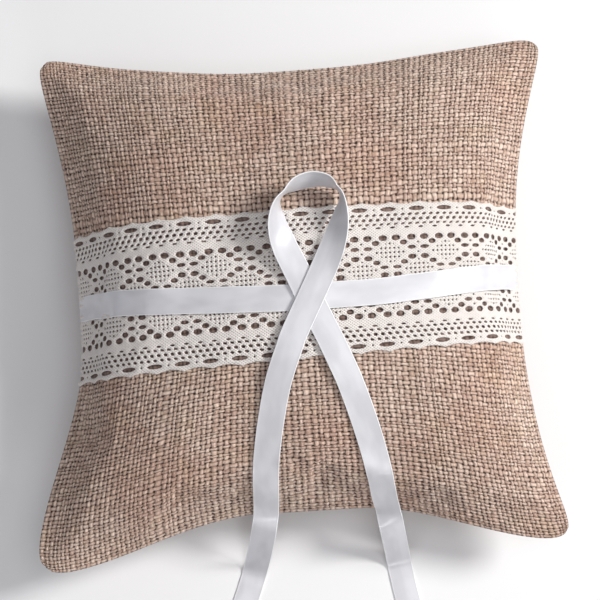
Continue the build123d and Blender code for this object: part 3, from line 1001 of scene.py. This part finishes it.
# %% Loop
def loop_stations():
    """Middles round the crossing and the loop: its outer edge banks up until it stands on edge."""
    route = [(cross.x / MM, cross.y / MM, 0), *loop_route, (cross.x / MM, cross.y / MM, 0)]
    middles, sides = [], []
    for number, (x, y, bank) in enumerate(route):
        way = level_way(route, number)
        x, y, bank = x * MM, y * MM, math.radians(bank)
        outward = Vector((way.y, -way.x, 0))
        lower = Vector((x, y, 0)) - outward * ribbon_half * math.cos(bank)
        share = clamp((number - 3) / (len(route) - 7))
        lift = over_lift + (under_lift - over_lift) * float(share)
        rest_z = max(on_face(lower.x, lower.y)[0].z, on_face(x, y)[0].z) + lift
        middles.append(Vector((x, y, rest_z + ribbon_half * math.sin(bank))))
        sides.append(outward * math.cos(bank) + Vector((0, 0, math.sin(bank))))
    return middles, sides


# %% Clear of what it lies on
def cleared(line, sides):
    """The ribbon's line, raised wherever an edge of the ribbon would sink into what it lies on."""
    need = np.zeros(len(line))
    for number, (point, side) in enumerate(zip(line, sides)):
        if point[1] < leave_y + 4 * MM or abs(side[2]) > 0.5:
            continue
        front_y, back_y = lace_edges(point[0])
        on_lace = front_y - 3 * MM < point[1] < back_y + 3 * MM
        for reach in (-1, -0.5, 0, 0.5, 1):
            across = point + side * reach * ribbon_half
            spot, look = on_face(*across[:2])
            room = (room_on_lace if on_lace else room_on_burlap) / max(look.z, 0.4)
            need[number] = max(need[number], spot.z + room - across[2])
    for sweep in range(30):
        spread = np.concatenate([need[:1], need, need[-1:]])
        need = np.maximum(need, (spread[:-2] + 2 * need + spread[2:]) / 4)
    print("ribbon raised by up to", round(float(need.max()) / MM, 2), "mm")
    return line + np.array((0, 0, 1)) * need[:, None]


left_middles, left_sides = tail_stations(left_route, over_lift, downwards=False)
right_middles, right_sides = tail_stations(right_route, under_lift, downwards=True)
loop_middles, loop_sides = loop_stations()
line, sides, ribbon_length = even_line(left_middles[::-1] + loop_middles + right_middles,
                                       left_sides[::-1] + loop_sides + right_sides, pitch=0.7 * MM)
print("ribbon", round(ribbon_length / MM), "mm from end to end")

# %% Cut into loop and tails
line = cleared(line, sides / np.linalg.norm(sides, axis=1, keepdims=True))
rings, places = ribbon_rings(line, sides, cup=0.12 * MM)
below = np.flatnonzero(line[:, 1] < hinge_tails)
first_cut = below[below < len(line) // 2].max()
second_cut = below[below > len(line) // 2].min()
slant, slanted = (rings[..., 0] - line[:, None, 0]) * 0.5, 8
reach = np.linspace(1, 0, slanted)[:, None]
rings[:slanted, :, 1] += slant[:slanted] * reach
rings[-slanted:, :, 1] += slant[-slanted:] * reach[::-1]
parts = {"tail_of_left": (slice(0, first_cut + 1), "left_tail", "tail_left"),
         "loop_and_crossing": (slice(first_cut, second_cut + 1), "ribbon_loop", "loop"),
         "tail_of_right": (slice(second_cut, len(line)), "right_tail", "tail_right")}
for name, (part, node, body) in parts.items():
    piece = wrapped_piece(name, [rings[part]], [places[part]])
    piece.data.materials.append(satin)
    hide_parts(node)
    if body == "loop":
        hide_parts("crossing_over", "crossing_under")
        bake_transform(piece)
    else:
        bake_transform(piece)

# %% Tack
tack_arm = 2.4 * MM
tack_work = []
for lean in (math.radians(45), math.radians(135)):
    arm = Vector((math.cos(lean), math.sin(lean), 0)) * tack_arm
    spot, way = on_face(cross.x, cross.y)
    spot = spot + way * (under_lift + 0.25 * MM)
    tack_work.append((spot - arm, spot + arm, way, 0.12 * MM, 0.18 * MM))
sewing("tack", tack_work, white_thread, "tack_stitch")

# %% [markdown]
# ## Floor and light
# A plain pale floor and large soft lights show the cloth without competing with it. The main light
# comes from the upper right, so the weave and the lace throw small shadows. Weaker ones open up the
# left and the top, and a small one in front puts a glint on the bends of the tails.

# %% Floor
floor_mesh = bpy.data.meshes.new("floor")
floor_reach = 14
corners = [(x * floor_reach, y * floor_reach, 0) for x, y in ((-1, -1), (1, -1), (1, 1), (-1, 1))]
floor_mesh.from_pydata(corners, [], [(0, 1, 2, 3)])
floor = new_piece("floor", floor_mesh)
paper = Finish("pale paper", 0.9)
paper.colour(paper.blend(paper.noise(paper.solid_place(), 3.0), (0.84, 0.84, 0.85), (0.87, 0.87, 0.88)))
floor_mesh.materials.append(paper.material)
print("floor reaches", floor_reach, "m each way")

# %% Lights
def soft_light(name, place, size, power, colour):
    lamp = bpy.data.objects.new(name, bpy.data.lights.new(name, "AREA"))
    lamp.data.shape, lamp.data.size, lamp.data.energy, lamp.data.color = "DISK", size, power, colour
    lamp.location = place
    lamp.rotation_mode = "QUATERNION"
    lamp.rotation_quaternion = (Vector(place) - look_at).to_track_quat("Z", "Y")
    scene.collection.objects.link(lamp)


soft_light("main light", (0.90, 0.22, 0.74), 0.35, 13.2, (1.0, 0.985, 0.96))
soft_light("left fill", (-0.7, -0.5, 0.9), 0.9, 1.4, (0.98, 0.97, 1.0))
soft_light("overhead", (0.25, -0.15, 1.3), 1.0, 4.4, (0.97, 0.98, 1.0))
soft_light("front glow", (0.15, -0.95, 0.45), 0.25, 1.3, (1.0, 1.0, 1.0))
world = bpy.data.worlds.new("room")
world.use_nodes = True
world.node_tree.nodes["Background"].inputs[0].default_value = (0.95, 0.96, 1.0, 1)
world.node_tree.nodes["Background"].inputs[1].default_value = 0.21
scene.world = world
scene.view_settings.view_transform = "Standard"
